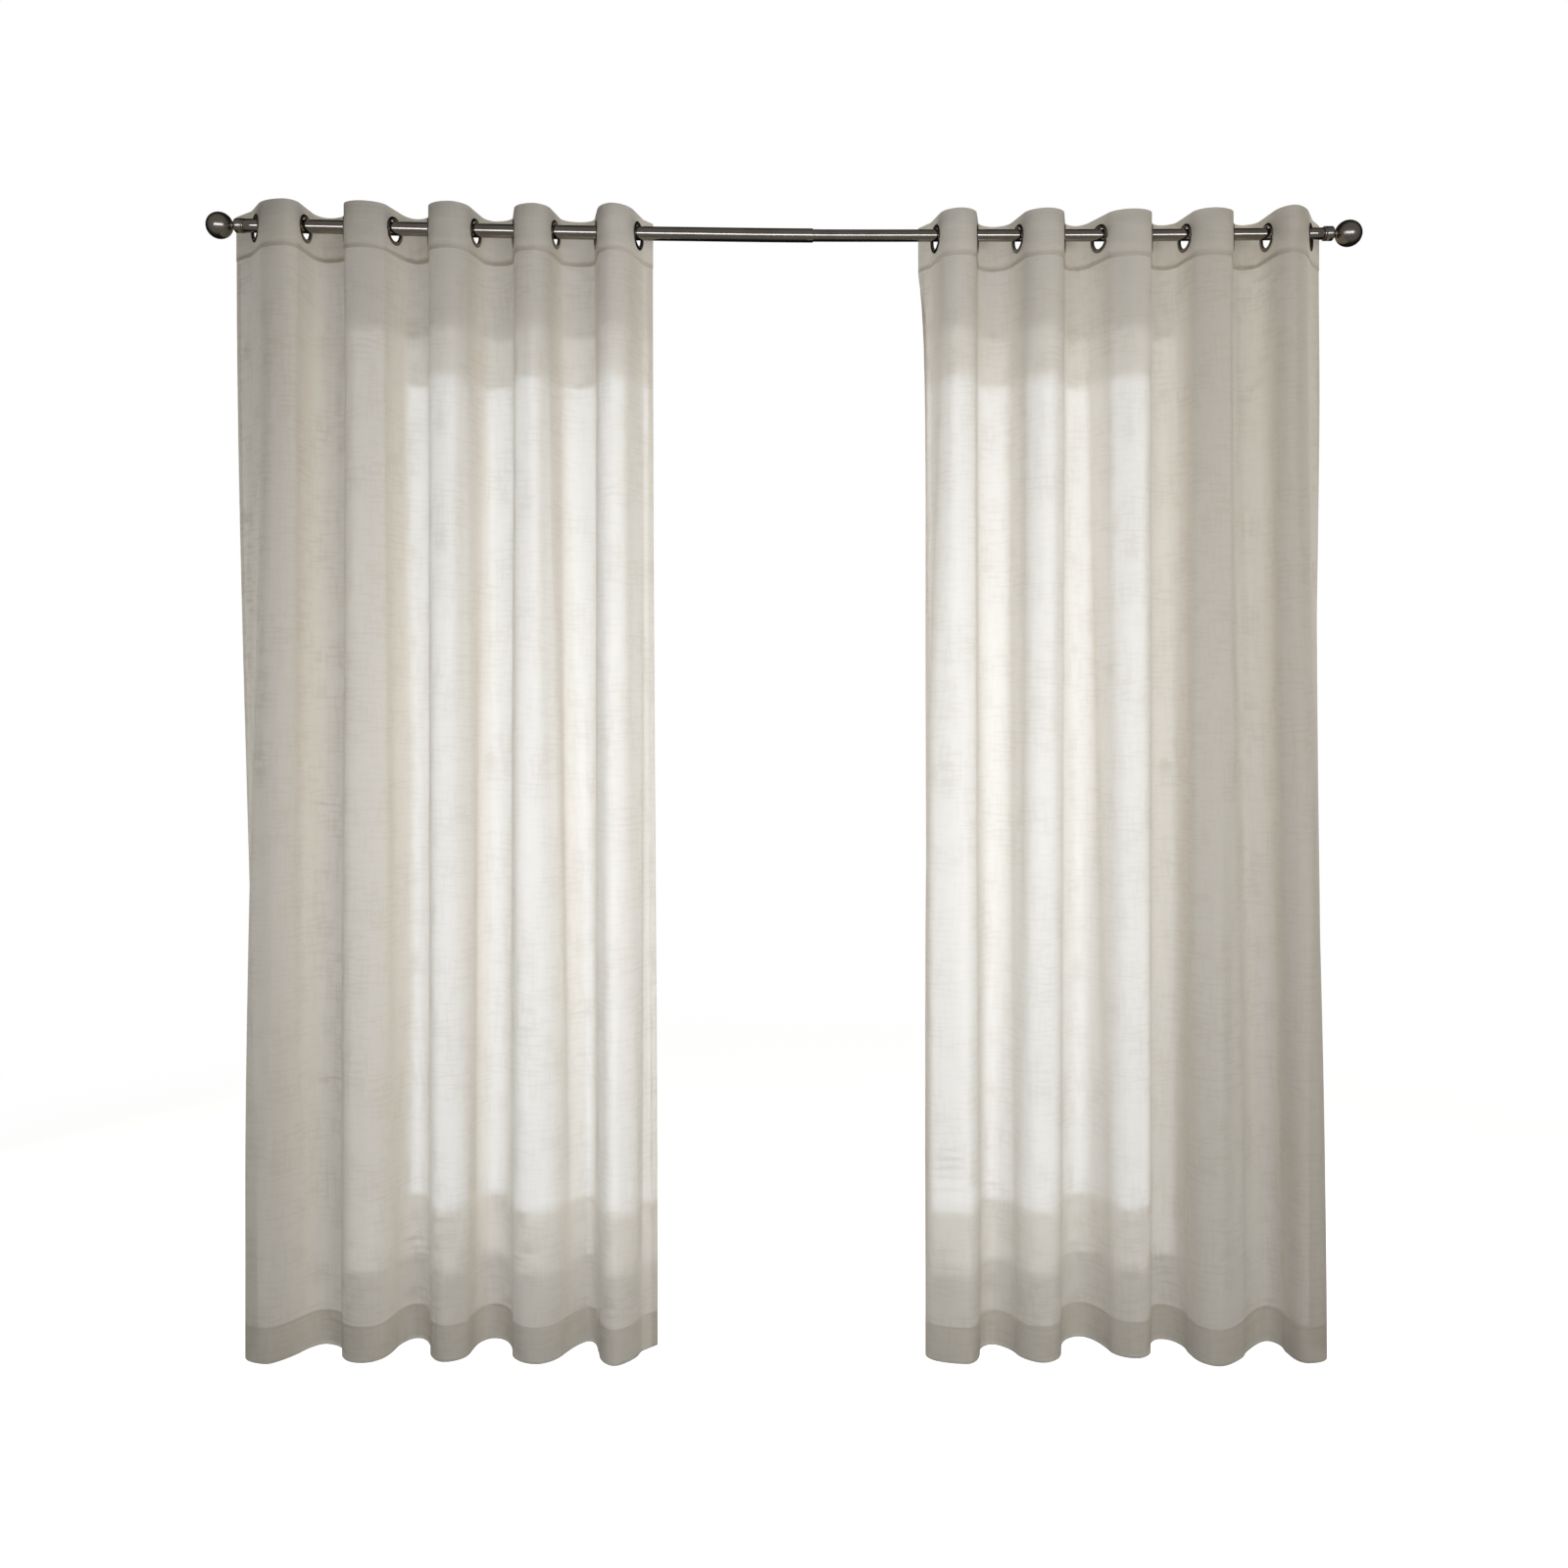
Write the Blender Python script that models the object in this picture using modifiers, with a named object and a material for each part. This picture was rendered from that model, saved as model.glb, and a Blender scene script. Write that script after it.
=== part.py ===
"""A pair of sheer voile curtains with eyelet headings, hung on a telescoping rod with ball finials.

Metres, +Z up. The rod runs along X, the room is on the -Y side and the wall on the +Y side.
The origin is on the rod's centre line, midway between its ends.
"""

import math
from collections import namedtuple

import bmesh
import bpy
import numpy as np
from mathutils import Matrix, Vector

MM = 0.001
GAP = 0.3

# Cloth, in millimetres
DROP_LEVEL = -2087.0
HEADING_HEIGHT = 86.0
HEADING_THICKNESS = 2.0
VOILE_THICKNESS = 1.2

# Eyelet rings, in millimetres
EYELET_DEPTH = 40.0
EYELET_HOLE_RADIUS = 18.6
EYELET_BARREL_RADIUS = 20.0
EYELET_FLANGE_RADIUS = 26.3
EYELET_CROWN_RADIUS = 22.5
EYELET_HALF_HEIGHT = 2.9
EYELET_STEPS = 16
EYELET_SLACK = 0.6

# Rod, in millimetres
OUTER_TUBE_RADIUS = 12.7
INNER_TUBE_RADIUS = 11.1
TUBE_WALL = 1.0
ROD_STEP_X = 54.0
INNER_TUBE_END_X = -52.0
TUBE_POINT_PITCH = 200.0
TUBE_SIDES = 20

# Finials, in millimetres, measured from the ball's centre
FINIAL_CENTRE_X = 1055.5
BALL_RADIUS = 24.6
NECK_RADIUS = 6.4
NECK_END = 26.5
COLLAR_RADIUS = 13.5
COLLAR_START = 31.0
COLLAR_END = 47.0
PLUG_END = 72.0
COLLAR_ROUNDING = 1.2
FINIAL_STEPS = 20
BALL_RINGS = 9

# Cloth lies flat this far to each side of an eyelet's centre, and of the same fold's middle at the hem
FLAT_HALF_WIDTH = 27.5
HEM_FLAT_HALF_WIDTH = 10.0

# How many straight pieces stand for half a fold's turn, and for the drop of a panel, closer set at its top
TURN_PIECES = 4
DROP_PIECES = 7
DROP_CROWDING = 1.25
TURN_ROUNDNESS = 0.55

# The rod sags a little towards its joint: its centre line, from the left finial to the right one.
Level = namedtuple("Level", "x z")
ROD_LEVELS = (
    Level(-1055, 18.7),
    Level(-860, 16.0),
    Level(-700, 11.8),
    Level(-385, 5.2),
    Level(-185, 2.4),
    Level(0, 0.0),
    Level(365, -0.4),
    Level(700, 0.5),
    Level(860, 1.8),
    Level(1055, 3.7),
)

# One row for each eyelet, from the left: the turn of cloth before it, the eyelet, and that fold at the hem.
# x runs along the rod, y is the depth behind it, and an angle is that of the cloth to the rod.
# settles is the share of the drop in which the fold goes from its shape at the heading to that at the hem.
Fold = namedtuple(
    "Fold",
    "turn_x turn_y eyelet_x angle hem_turn_x hem_turn_y hem_x hem_y hem_angle settles",
)
Edge = namedtuple("Edge", "x y hem_x hem_y settles")

LEFT_FOLDS = (
    Fold(-1046, 56, -988, 55, -998, 36, -1000, -6, 88, 1.00),
    Fold(-920, -47, -895, 84, -950, -49, -903, -5, 58, 1.00),
    Fold(-868, 55, -821, 75, -866, 28, -824, -5, 74, 1.00),
    Fold(-778, -46, -729, 73, -779, -46, -730, 3, 78, 1.00),
    Fold(-699, 48, -664, 76, -698, 51, -662, 5, 77, 1.00),
    Fold(-614, -55, -577, 79, -625, -42, -583, 5, 81, 1.00),
    Fold(-550, 50, -505, 76, -553, 51, -508, 0, 80, 1.00),
    Fold(-460, -53, -428, 80, -453, -50, -405, -4, 62, 1.00),
    Fold(-389, 46, -351, 77, -370, 39, -346, -5, 80, 1.00),
    Fold(-315, -61, -273, 76, -310, -56, -268, -8, 66, 1.00),
)
LEFT_EDGE = Edge(-250, 50, -238, 26, 1.00)

RIGHT_FOLDS = (
    Fold(257, 58, 284, 77, 271, 40, 265, -2, 96, 0.05),
    Fold(325, -54, 361, 79, 334, -49, 364, -10, 80, 1.00),
    Fold(399, 51, 438, 75, 394, 26, 432, -8, 62, 1.00),
    Fold(484, -53, 524, 77, 478, -45, 520, 8, 79, 1.00),
    Fold(556, 47, 590, 66, 564, 58, 607, 8, 72, 1.00),
    Fold(643, -47, 687, 75, 654, -28, 688, 12, 76, 1.00),
    Fold(717, 45, 750, 77, 717, 48, 755, -5, 84, 1.00),
    Fold(791, -50, 839, 73, 797, -58, 856, -14, 52, 1.00),
    Fold(872, 48, 903, 82, 917, 40, 938, 0, 88, 1.00),
    Fold(933, -60, 984, 62, 963, -46, 1007, -8, 90, 1.00),
)
RIGHT_EDGE = Edge(1022, 56, 1000, 44, 1.00)


def clear_scene():
    for obj in list(bpy.data.objects):
        bpy.data.objects.remove(obj, do_unlink=True)


def collection(name, hidden=False):
    made = bpy.data.collections.new(name)
    bpy.context.scene.collection.children.link(made)
    made.hide_render = hidden
    return made


def finish_of(name, colour, roughness, metallic):
    """A plain Principled material."""
    material = bpy.data.materials.new(name)
    material.use_nodes = True
    shader = material.node_tree.nodes["Principled BSDF"]
    shader.inputs["Base Color"].default_value = (*colour, 1.0)
    shader.inputs["Roughness"].default_value = roughness
    shader.inputs["Metallic"].default_value = metallic
    material.diffuse_color = (*colour, 1.0)
    return material


def add_object(name, data, material, group):
    obj = bpy.data.objects.new(name, data)
    if not data.materials:
        data.materials.append(material)
    group.objects.link(obj)
    return obj


def rod_height(x):
    """Height of the rod's centre line at x: a smooth curve through the rows of ROD_LEVELS."""
    xs = [level.x for level in ROD_LEVELS]
    zs = [level.z for level in ROD_LEVELS]
    slopes = np.gradient(zs, xs)
    i = min(max(int(np.searchsorted(xs, x)) - 1, 0), len(xs) - 2)
    span = xs[i + 1] - xs[i]
    t = (x - xs[i]) / span
    start = (1 + 2 * t) * (1 - t) ** 2 * zs[i] + t * (1 - t) ** 2 * span * slopes[i]
    end = t**2 * (3 - 2 * t) * zs[i + 1] + t**2 * (t - 1) * span * slopes[i + 1]
    return start + end


def tube_radius(x):
    return OUTER_TUBE_RADIUS if x < ROD_STEP_X else INNER_TUBE_RADIUS


def eyelet_height(x):
    """An eyelet hangs with the top of its hole just clear of the tube."""
    lowest_reach = EYELET_HOLE_RADIUS * math.cos(math.pi / EYELET_STEPS)
    return rod_height(x) - (lowest_reach - tube_radius(x) - EYELET_SLACK)


def heading_top(x):
    return eyelet_height(x) + EYELET_DEPTH


def quarter_turn(start, direction, end):
    """Points of a rounded quarter turn that leaves start along direction and meets end running along X."""
    reach = (end[1] - start[1]) / direction[1]
    corner = start + direction * reach
    for i in range(1, TURN_PIECES + 1):
        t = i / TURN_PIECES
        handle_a = start + TURN_ROUNDNESS * (corner - start)
        handle_b = end + TURN_ROUNDNESS * (corner - end)
        yield (
            (1 - t) ** 3 * start
            + 3 * t * (1 - t) ** 2 * handle_a
            + 3 * t**2 * (1 - t) * handle_b
            + t**3 * end
        )


def straight_flap(start, end):
    """Points of the straight flap of cloth between a side edge and its nearest flank."""
    return [start + (end - start) * k / TURN_PIECES for k in range(1, TURN_PIECES + 1)]


def fold_line(turns, flanks, half_width):
    """Plan of a hanging cloth as points: a straight flank at each eyelet, joined by rounded turns.

    turns are the crests and troughs between the cloth's two side edges, which are the first and the last
    of them. flanks are (centre, angle), and each lies between two turns.
    """
    points = [turns[0]]
    for i, (centre, angle) in enumerate(flanks):
        forward = -1.0 if turns[i + 1][1] < turns[i][1] else 1.0
        slope = math.radians(angle)
        direction = np.array([math.cos(slope), forward * math.sin(slope)])
        start = centre - half_width * direction
        end = centre + half_width * direction
        if i == 0:
            points.extend(straight_flap(turns[0], start))
        else:
            back = list(quarter_turn(start, -direction, turns[i]))
            points.extend(reversed([start, *back[:-1]]))
        points.append(end)
        if i == len(flanks) - 1:
            points.extend(straight_flap(end, turns[-1]))
        else:
            points.extend(quarter_turn(end, direction, turns[i + 1]))
    return np.array(points)


def heading_line(folds, edge):
    turns = [np.array([f.turn_x, f.turn_y], float) for f in folds]
    turns.append(np.array([edge.x, edge.y], float))
    flanks = [(np.array([f.eyelet_x, 0.0]), f.angle) for f in folds]
    return fold_line(turns, flanks, FLAT_HALF_WIDTH)


def hem_line(folds, edge):
    turns = [np.array([f.hem_turn_x, f.hem_turn_y], float) for f in folds]
    turns.append(np.array([edge.hem_x, edge.hem_y], float))
    flanks = [(np.array([f.hem_x, f.hem_y], float), f.hem_angle) for f in folds]
    return fold_line(turns, flanks, HEM_FLAT_HALF_WIDTH)


def settling(folds, edge, count):
    """How much of the drop each point of the line needs to reach its place at the hem."""
    rows = [f.settles for f in folds] + [edge.settles]
    return np.interp(np.linspace(0, len(rows) - 1, count), range(len(rows)), rows)


def sheet_mesh(name, rows):
    """An open quad mesh through rows of points, given in millimetres."""
    mesh = bmesh.new()
    grid = [[mesh.verts.new(Vector(point) * MM) for point in row] for row in rows]
    for upper, lower in zip(grid, grid[1:]):
        for i in range(len(upper) - 1):
            mesh.faces.new((upper[i], lower[i], lower[i + 1], upper[i + 1]))
    bmesh.ops.recalc_face_normals(mesh, faces=mesh.faces)
    data = bpy.data.meshes.new(name)
    mesh.to_mesh(data)
    mesh.free()
    return data


def thicken(obj, thickness):
    solid = obj.modifiers.new("thickness", "SOLIDIFY")
    solid.thickness = thickness * MM
    solid.offset = 0.0
    solid.use_even_offset = True
    return solid


def make_heading(side, folds, edge, cloth, group, helpers):
    """The doubled strip at the top, with a round hole for each eyelet."""
    line = heading_line(folds, edge)
    top = [(x, y, heading_top(x)) for x, y in line]
    foot = [(x, y, heading_top(x) - HEADING_HEIGHT) for x, y in line]
    heading = add_object(f"heading_{side}", sheet_mesh(f"heading_{side}", (top, foot)), cloth, group)
    thicken(heading, HEADING_THICKNESS)
    for number, fold in enumerate(folds, 1):
        cutter = hole_cutter(f"hole_{side}_{number:02d}", fold, number, helpers)
        hole = heading.modifiers.new(cutter.name, "BOOLEAN")
        hole.operation = "DIFFERENCE"
        hole.object = cutter


def eyelet_matrix(fold, number):
    """Place of an eyelet: its axis square to the flank that it is set in, and its first vertex on top."""
    forward = -1.0 if number % 2 else 1.0
    slope = math.radians(fold.angle)
    along = Vector((math.cos(slope), forward * math.sin(slope), 0.0))
    up = Vector((0.0, 0.0, 1.0))
    turn = Matrix((up, along, up.cross(along))).transposed().to_4x4()
    place = Vector((fold.eyelet_x, 0.0, eyelet_height(fold.eyelet_x))) * MM
    return Matrix.Translation(place) @ turn


def hole_cutter(name, fold, number, helpers):
    mesh = bmesh.new()
    bmesh.ops.create_cone(
        mesh,
        cap_ends=True,
        segments=EYELET_STEPS,
        radius1=(EYELET_BARREL_RADIUS + GAP) * MM,
        radius2=(EYELET_BARREL_RADIUS + GAP) * MM,
        depth=6 * HEADING_THICKNESS * MM,
    )
    data = bpy.data.meshes.new(name)
    mesh.to_mesh(data)
    mesh.free()
    cutter = bpy.data.objects.new(name, data)
    cutter.matrix_world = eyelet_matrix(fold, number)
    cutter.hide_render = True
    cutter.display_type = "WIRE"
    helpers.objects.link(cutter)
    return cutter


def make_panel(side, folds, edge, cloth, group):
    """The voile below the heading, down to the hem."""
    head = heading_line(folds, edge)
    hem = hem_line(folds, edge)
    settles = settling(folds, edge, len(head))
    rows = []
    for k in range(DROP_PIECES + 1):
        share = (k / DROP_PIECES) ** DROP_CROWDING
        row = []
        for (x, y), (hem_x, hem_y), pace in zip(head, hem, settles):
            t = min(share / pace, 1.0)
            t = t * t * (3 - 2 * t)
            top = heading_top(x) - HEADING_HEIGHT - GAP
            row.append((x + (hem_x - x) * t, y + (hem_y - y) * t, top + (DROP_LEVEL - top) * share))
        rows.append(row)
    panel = add_object(f"curtain_{side}", sheet_mesh(f"curtain_{side}", rows), cloth, group)
    thicken(panel, VOILE_THICKNESS)


def turned(name, profile, steps, closed=False):
    """An object turned about Z from (radius, height) points in millimetres, its outer side running down."""
    mesh = bpy.data.meshes.new(name)
    points = [(radius * MM, 0.0, height * MM) for radius, height in profile]
    edges = [(i, i + 1) for i in range(len(points) - 1)]
    if closed:
        edges.append((len(points) - 1, 0))
    mesh.from_pydata(points, edges, [])
    obj = bpy.data.objects.new(name, mesh)
    screw = obj.modifiers.new("turn", "SCREW")
    screw.steps = steps
    screw.render_steps = steps
    screw.use_merge_vertices = True
    screw.merge_threshold = 0.00001
    return obj


def eyelet_profile():
    """The ring's section: two flanges and the barrel between them, which grips the cloth."""
    groove = HEADING_THICKNESS / 2 + GAP
    return (
        (EYELET_CROWN_RADIUS, EYELET_HALF_HEIGHT),
        (EYELET_FLANGE_RADIUS, groove),
        (EYELET_BARREL_RADIUS, groove),
        (EYELET_BARREL_RADIUS, -groove),
        (EYELET_FLANGE_RADIUS, -groove),
        (EYELET_CROWN_RADIUS, -EYELET_HALF_HEIGHT),
        (EYELET_HOLE_RADIUS, -groove),
        (EYELET_HOLE_RADIUS, groove),
    )


def make_eyelets(side, folds, metal, group):
    """Ten snap-together rings, set in the flanks of the folds."""
    for number, fold in enumerate(folds, 1):
        ring = turned(f"eyelet_{side}_{number:02d}", eyelet_profile(), EYELET_STEPS, closed=True)
        ring.data.materials.append(metal)
        ring.matrix_world = eyelet_matrix(fold, number)
        group.objects.link(ring)


def make_tube(name, start_x, end_x, radius, metal, group):
    """A thin-walled tube that follows the rod's centre line, open at both ends."""
    count = max(2, round((end_x - start_x) / TUBE_POINT_PITCH) + 1)
    curve = bpy.data.curves.new(name, "CURVE")
    curve.dimensions = "3D"
    curve.bevel_depth = radius * MM
    curve.bevel_resolution = TUBE_SIDES // 2 - 2
    curve.use_fill_caps = False
    line = curve.splines.new("POLY")
    line.points.add(count - 1)
    for point, x in zip(line.points, np.linspace(start_x, end_x, count)):
        point.co = (x * MM, 0.0, rod_height(x) * MM, 1.0)
    tube = add_object(name, curve, metal, group)
    wall = tube.modifiers.new("wall", "SOLIDIFY")
    wall.thickness = TUBE_WALL * MM
    wall.offset = -1.0
    wall.use_even_offset = True


def finial_profile(bore):
    """Ball, neck, collar and the plug that goes into the tube, from the plug's end down to the ball."""
    plug = bore * math.cos(math.pi / TUBE_SIDES) - GAP
    profile = [
        (0.0, PLUG_END),
        (plug, PLUG_END),
        (plug, COLLAR_END),
        (COLLAR_RADIUS - COLLAR_ROUNDING, COLLAR_END),
        (COLLAR_RADIUS, COLLAR_END - COLLAR_ROUNDING),
        (COLLAR_RADIUS, COLLAR_START),
        (COLLAR_RADIUS - 2 * COLLAR_ROUNDING, COLLAR_START - 2 * COLLAR_ROUNDING),
        (NECK_RADIUS, NECK_END),
    ]
    neck_angle = math.asin(NECK_RADIUS / BALL_RADIUS)
    for i in range(BALL_RINGS):
        angle = neck_angle + (math.pi - neck_angle) * i / BALL_RINGS
        profile.append((BALL_RADIUS * math.sin(angle), BALL_RADIUS * math.cos(angle)))
    profile.append((0.0, -BALL_RADIUS))
    return profile


def make_finial(side, tube_outer, metal, group):
    """A turned ball finial, its plug pointing along the rod towards the curtains."""
    inward = 1.0 if side == "left" else -1.0
    centre_x = -inward * FINIAL_CENTRE_X
    finial = turned(f"finial_{side}", finial_profile(tube_outer - TUBE_WALL), FINIAL_STEPS)
    finial.data.materials.append(metal)
    reach = centre_x + inward * PLUG_END
    axis = Vector((reach - centre_x, 0.0, rod_height(reach) - rod_height(centre_x))).normalized()
    turn = axis.to_track_quat("Z", "Y").to_matrix().to_4x4()
    place = Vector((centre_x, 0.0, rod_height(centre_x))) * MM
    finial.matrix_world = Matrix.Translation(place) @ turn
    group.objects.link(finial)


def shade_round(group):
    for obj in group.objects:
        if obj.type == "MESH":
            obj.data.shade_smooth()


def build():
    clear_scene()
    group = collection("voile_eyelet_curtains")
    helpers = collection("cutters", hidden=True)
    voile = finish_of("ivory_voile", (0.80, 0.77, 0.70), 0.9, 0.0)
    doubled = finish_of("ivory_voile_doubled", (0.76, 0.72, 0.65), 0.9, 0.0)
    nickel = finish_of("brushed_nickel", (0.36, 0.34, 0.31), 0.35, 1.0)

    for side, folds, edge in (("left", LEFT_FOLDS, LEFT_EDGE), ("right", RIGHT_FOLDS, RIGHT_EDGE)):
        make_heading(side, folds, edge, doubled, group, helpers)
        make_panel(side, folds, edge, voile, group)
        make_eyelets(side, folds, nickel, group)

    tube_reach = FINIAL_CENTRE_X - COLLAR_END - GAP
    make_tube("rod_outer_tube", -tube_reach, ROD_STEP_X, OUTER_TUBE_RADIUS, nickel, group)
    make_tube("rod_inner_tube", INNER_TUBE_END_X, tube_reach, INNER_TUBE_RADIUS, nickel, group)
    make_finial("left", OUTER_TUBE_RADIUS, nickel, group)
    make_finial("right", INNER_TUBE_RADIUS, nickel, group)
    shade_round(group)


build()
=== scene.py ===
import math
from collections import namedtuple

import bmesh
import bpy
import numpy as np
from mathutils import Matrix, Vector


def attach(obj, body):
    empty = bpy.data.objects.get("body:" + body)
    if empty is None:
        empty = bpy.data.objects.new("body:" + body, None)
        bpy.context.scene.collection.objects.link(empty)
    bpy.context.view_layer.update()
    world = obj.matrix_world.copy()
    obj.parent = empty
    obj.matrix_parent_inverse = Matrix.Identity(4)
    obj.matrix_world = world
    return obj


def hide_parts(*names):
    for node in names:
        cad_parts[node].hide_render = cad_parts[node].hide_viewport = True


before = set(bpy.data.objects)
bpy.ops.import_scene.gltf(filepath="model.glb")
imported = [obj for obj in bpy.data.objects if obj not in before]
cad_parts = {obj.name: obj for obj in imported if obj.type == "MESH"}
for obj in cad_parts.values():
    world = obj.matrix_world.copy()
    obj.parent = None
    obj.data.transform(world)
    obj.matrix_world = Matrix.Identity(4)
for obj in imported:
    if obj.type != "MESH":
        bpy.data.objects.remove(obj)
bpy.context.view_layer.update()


# Camera
# The photograph was taken level, 2.55 m in front of the rod and a little above the panels' middle.
# Its lens is dropped slightly, so that the rod and the hems keep their places in the 1600 pixel frame.
CAMERA_PLACE = (0.0, -2.55, -0.861)
FRAME_PIXELS = 1600
FOCAL_PIXELS = 1391.5
HORIZON_PIXEL = 710
SENSOR_MM = 36.0

camera_data = bpy.data.cameras.new("camera")
camera_data.sensor_width = SENSOR_MM
camera_data.lens = SENSOR_MM * FOCAL_PIXELS / FRAME_PIXELS
camera_data.shift_y = (HORIZON_PIXEL - FRAME_PIXELS / 2) / FRAME_PIXELS
camera = bpy.data.objects.new("camera", camera_data)
camera.location = CAMERA_PLACE
camera.rotation_euler = (math.radians(90), 0, 0)
bpy.context.scene.collection.objects.link(camera)
bpy.context.scene.camera = camera
bpy.context.scene.view_settings.view_transform = "Standard"


# Floor
# Matt white studio paper, just below the hems. Far from the curtains it burns out to white, as paper
# does under studio light, so that no horizon shows.
FLOOR_LEVEL = -2.112
FLOOR_RADIUS = 30.0
PAPER_WHITE = "F4F4F2"
PAPER_GLOW = 0.80
BURN_START = 0.6
BURN_END = 3.2


def paint(code):
    """An sRGB hex colour as the linear colour that Blender's sockets take."""
    parts = [int(code[i : i + 2], 16) / 255 for i in (0, 2, 4)]
    return (*[c / 12.92 if c <= 0.04045 else ((c + 0.055) / 1.055) ** 2.4 for c in parts], 1.0)


def add_node(tree, kind, inputs=None, **settings):
    """Adds a node. Each of its inputs is given a value, or another node's socket to link from."""
    made = tree.nodes.new(kind)
    for name, value in settings.items():
        setattr(made, name, value)
    for name, value in (inputs or {}).items():
        if isinstance(value, bpy.types.NodeSocket):
            tree.links.new(value, made.inputs[name])
        else:
            made.inputs[name].default_value = value
    return made


def new_material(name):
    material = bpy.data.materials.new(name)
    material.use_nodes = True
    material.node_tree.nodes.clear()
    return material, material.node_tree


paper, tree = new_material("matt_white_paper")
place = add_node(tree, "ShaderNodeTexCoord").outputs["Object"]
distance = add_node(tree, "ShaderNodeVectorMath", {0: place}, operation="LENGTH").outputs["Value"]
burn = add_node(
    tree,
    "ShaderNodeMapRange",
    {"Value": distance, "From Min": BURN_START, "From Max": BURN_END},
    interpolation_type="SMOOTHSTEP",
).outputs["Result"]
matt = add_node(
    tree,
    "ShaderNodeBsdfPrincipled",
    {
        "Base Color": paint(PAPER_WHITE),
        "Roughness": 0.9,
        "Specular IOR Level": 0.2,
        "Emission Color": paint(PAPER_WHITE),
        "Emission Strength": PAPER_GLOW,
    },
).outputs["BSDF"]
white = add_node(tree, "ShaderNodeEmission", {"Color": paint("FFFFFF"), "Strength": 1.0}).outputs[0]
mixed = add_node(tree, "ShaderNodeMixShader", {0: burn, 1: matt, 2: white}).outputs[0]
add_node(tree, "ShaderNodeOutputMaterial", {"Surface": mixed})

floor_mesh = bmesh.new()
bmesh.ops.create_circle(floor_mesh, cap_ends=True, segments=64, radius=FLOOR_RADIUS)
floor_data = bpy.data.meshes.new("floor")
floor_mesh.to_mesh(floor_data)
floor_mesh.free()
floor_data.materials.append(paper)
floor = bpy.data.objects.new("floor", floor_data)
floor.location = (0.0, 0.0, FLOOR_LEVEL)
floor.visible_diffuse = False
floor.visible_transmission = False
floor.visible_glossy = False
bpy.context.scene.collection.objects.link(floor)


# Light
# Soft studio light. Two softboxes close behind bring up the glow in the curtains' middle, as daylight
# does, and three wider ones carry it outwards. Two in front lift the shade. The long strip in front,
# a little below the rod, shows in the metal alone, as the thin bright line along it.
DAYLIGHT = "DCEAFF"
PALE_WHITE = "EFF2F6"
MIDDLE_WHITE = "EBEFFF"
WARM_WHITE = "FFFAF3"
STUDIO_WHITE = "FFFDF8"
STUDIO_FRONT = 0.30
STUDIO_BACK = 0.02
STUDIO_TURNS = (-0.4, 0.3)
NARROW = 12
WIDE = 180

SoftBox = namedtuple("SoftBox", "name place aim size power tint spread")
SOFT_BOXES = (
    SoftBox(
        "glow", (-0.0165, 0.14, -1.0425), (-0.0165, -1.0, -1.0425), (1.397, 1.535), 5.5, DAYLIGHT, NARROW
    ),
    SoftBox(
        "glow_rim", (-0.03, 0.14, -1.0535), (-0.03, -1.0, -1.0535), (1.545, 1.740), 3.6, PALE_WHITE, NARROW
    ),
    SoftBox("halo", (-0.03, 1.10, -1.05), (-0.03, -1.0, -1.05), (2.00, 1.60), 22.5, PALE_WHITE, WIDE),
    SoftBox("left_back", (-2.2, 0.9, -0.80), (-0.8, 0.0, -1.0), (1.0, 1.5), 20.5, WARM_WHITE, WIDE),
    SoftBox("right_back", (2.2, 0.9, -0.10), (0.9, 0.0, -0.6), (1.0, 1.0), 21.0, WARM_WHITE, WIDE),
    SoftBox("middle_front", (0.0, -1.1, -0.97), (0.0, 0.0, -1.05), (0.7, 1.5), 9.5, MIDDLE_WHITE, WIDE),
    SoftBox("right_front", (1.8, -2.4, -0.20), (0.0, 0.0, -1.0), (1.4, 1.4), 22.0, WARM_WHITE, WIDE),
)
STRIP = SoftBox("strip", (0.0, -2.6, -0.34), (0.0, 0.0, 0.0), (4.5, 0.45), 56.0, MIDDLE_WHITE, WIDE)

world = bpy.data.worlds.new("studio")
bpy.context.scene.world = world
world.use_nodes = True
tree = world.node_tree
tree.nodes.clear()
way = add_node(tree, "ShaderNodeTexCoord").outputs["Generated"]
axes = add_node(tree, "ShaderNodeSeparateXYZ", {0: way})
level = add_node(
    tree,
    "ShaderNodeMapRange",
    {
        "Value": axes.outputs["Y"],
        "From Min": STUDIO_TURNS[0],
        "From Max": STUDIO_TURNS[1],
        "To Min": STUDIO_FRONT,
        "To Max": STUDIO_BACK,
    },
    interpolation_type="SMOOTHSTEP",
).outputs["Result"]
studio = add_node(
    tree, "ShaderNodeBackground", {"Color": paint(STUDIO_WHITE), "Strength": level}
).outputs[0]
backdrop = add_node(tree, "ShaderNodeBackground", {"Color": paint("FFFFFF"), "Strength": 1.0}).outputs[0]
seen = add_node(tree, "ShaderNodeLightPath").outputs["Is Camera Ray"]
mixed = add_node(tree, "ShaderNodeMixShader", {0: seen, 1: studio, 2: backdrop}).outputs[0]
add_node(tree, "ShaderNodeOutputWorld", {"Surface": mixed})


def add_softbox(box):
    """A rectangular soft light that the camera doesn't see, facing the point that it is aimed at."""
    light = bpy.data.lights.new(box.name, "AREA")
    light.shape = "RECTANGLE"
    light.size, light.size_y = box.size
    light.energy = box.power
    light.color = paint(box.tint)[:3]
    light.spread = math.radians(box.spread)
    lamp = bpy.data.objects.new(box.name, light)
    lamp.location = box.place
    lamp.rotation_euler = (Vector(box.aim) - Vector(box.place)).to_track_quat("-Z", "Y").to_euler()
    lamp.visible_camera = False
    bpy.context.scene.collection.objects.link(lamp)
    return lamp


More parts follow.
